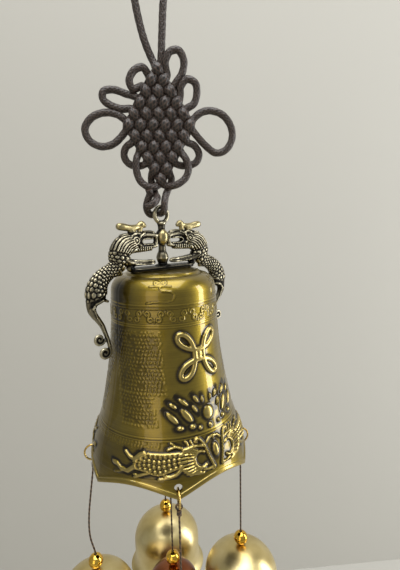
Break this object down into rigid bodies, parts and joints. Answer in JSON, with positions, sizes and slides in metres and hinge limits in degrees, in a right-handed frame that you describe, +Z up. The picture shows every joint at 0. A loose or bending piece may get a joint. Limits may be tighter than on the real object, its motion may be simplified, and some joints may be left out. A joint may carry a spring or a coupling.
{
  "type": "hanging bell chime",
  "caption": "Cast bell with a scalloped mouth, hung by a dragon handle from a knotted cord, with small bells on thin cords round its rim and on its axis.",
  "frame": {"origin": "where a hook carries the cord, at the underside of the loop's top", "axes": "+Z up along the bell's axis; -Y towards the relief's side; X along the handle, from one dragon to the other"},
  "size_m": [0.1085, 0.1076, 0.3224],
  "materials": {
    "braided_cord": "satin braid",
    "aged_brass": "polished with dark patina in the recesses",
    "dark_bronze": "blackened, worn bright on the edges",
    "steel": "satin",
    "ring_brass": "polished",
    "thread": "waxed",
    "polished_gold": "mirror polished",
    "pale_gold": "satin",
    "copper": "polished copper"
  },
  "bodies": {
    "cord": {"knot_cord": "braided_cord"},
    "bell": {"bell_shell": "aged_brass", "dragon_handle": "dark_bronze", "fixing_bolt": "steel", "washer": "steel"},
    "front_ring": {"ring_front": "ring_brass"},
    "right_ring": {"ring_right": "ring_brass"},
    "back_ring": {"ring_back": "ring_brass"},
    "left_ring": {"ring_left": "ring_brass"},
    "middle_ring": {"ring_middle": "ring_brass"},
    "front_pendant": {"thread_front": "thread", "bead_front": "polished_gold", "small_bell_front": "pale_gold"},
    "right_pendant": {"thread_right": "thread", "bead_right": "polished_gold", "small_bell_right": "pale_gold"},
    "back_pendant": {"thread_back": "thread", "bead_back": "polished_gold", "small_bell_back": "pale_gold"},
    "left_pendant": {"thread_left": "thread", "bead_left": "polished_gold", "small_bell_left": "pale_gold"},
    "middle_pendant": {"thread_middle": "thread", "bead_middle": "polished_gold", "small_bell_middle": "copper"}
  },
  "joints": [
    {"name": "bell_swing", "type": "hinge", "parent": "cord", "child": "bell", "pos_m": [0, 0, -0.1092], "axis": [0, 1, 0], "range_deg": [-12, 12]},
    {"name": "front_ring_turn", "type": "hinge", "parent": "bell", "child": "front_ring", "pos_m": [-0.01845, -0.03196, -0.22404], "axis": [-0.866, 0.5, 0], "range_deg": [-1, 40]},
    {"name": "right_ring_turn", "type": "hinge", "parent": "bell", "child": "right_ring", "pos_m": [0.03152, -0.0182, -0.2209], "axis": [-0.5, -0.866, 0], "range_deg": [-1, 40]},
    {"name": "back_ring_turn", "type": "hinge", "parent": "bell", "child": "back_ring", "pos_m": [0.01845, 0.03196, -0.22404], "axis": [0.866, -0.5, 0], "range_deg": [-1, 40]},
    {"name": "left_ring_turn", "type": "hinge", "parent": "bell", "child": "left_ring", "pos_m": [-0.03152, 0.0182, -0.2209], "axis": [0.5, 0.866, 0], "range_deg": [-1, 40]},
    {"name": "middle_ring_turn", "type": "hinge", "parent": "bell", "child": "middle_ring", "pos_m": [0, 0, -0.14555], "axis": [1, 0, 0], "range_deg": [-0.6, 0.6]},
    {"name": "front_swing", "type": "hinge", "parent": "front_ring", "child": "front_pendant", "pos_m": [-0.01845, -0.03196, -0.22789], "axis": [-0.5, -0.866, 0], "range_deg": [-7, 7]},
    {"name": "right_swing", "type": "hinge", "parent": "right_ring", "child": "right_pendant", "pos_m": [0.03152, -0.0182, -0.22475], "axis": [0.866, -0.5, 0], "range_deg": [-7, 7]},
    {"name": "back_swing", "type": "hinge", "parent": "back_ring", "child": "back_pendant", "pos_m": [0.01845, 0.03196, -0.22789], "axis": [0.5, 0.866, 0], "range_deg": [-7, 7]},
    {"name": "left_swing", "type": "hinge", "parent": "left_ring", "child": "left_pendant", "pos_m": [-0.03152, 0.0182, -0.22475], "axis": [-0.866, 0.5, 0], "range_deg": [-7, 7]},
    {"name": "middle_swing", "type": "hinge", "parent": "middle_ring", "child": "middle_pendant", "pos_m": [0, 0, -0.14815], "axis": [0, -1, 0], "range_deg": [-0.6, 0.6]}
  ]
}
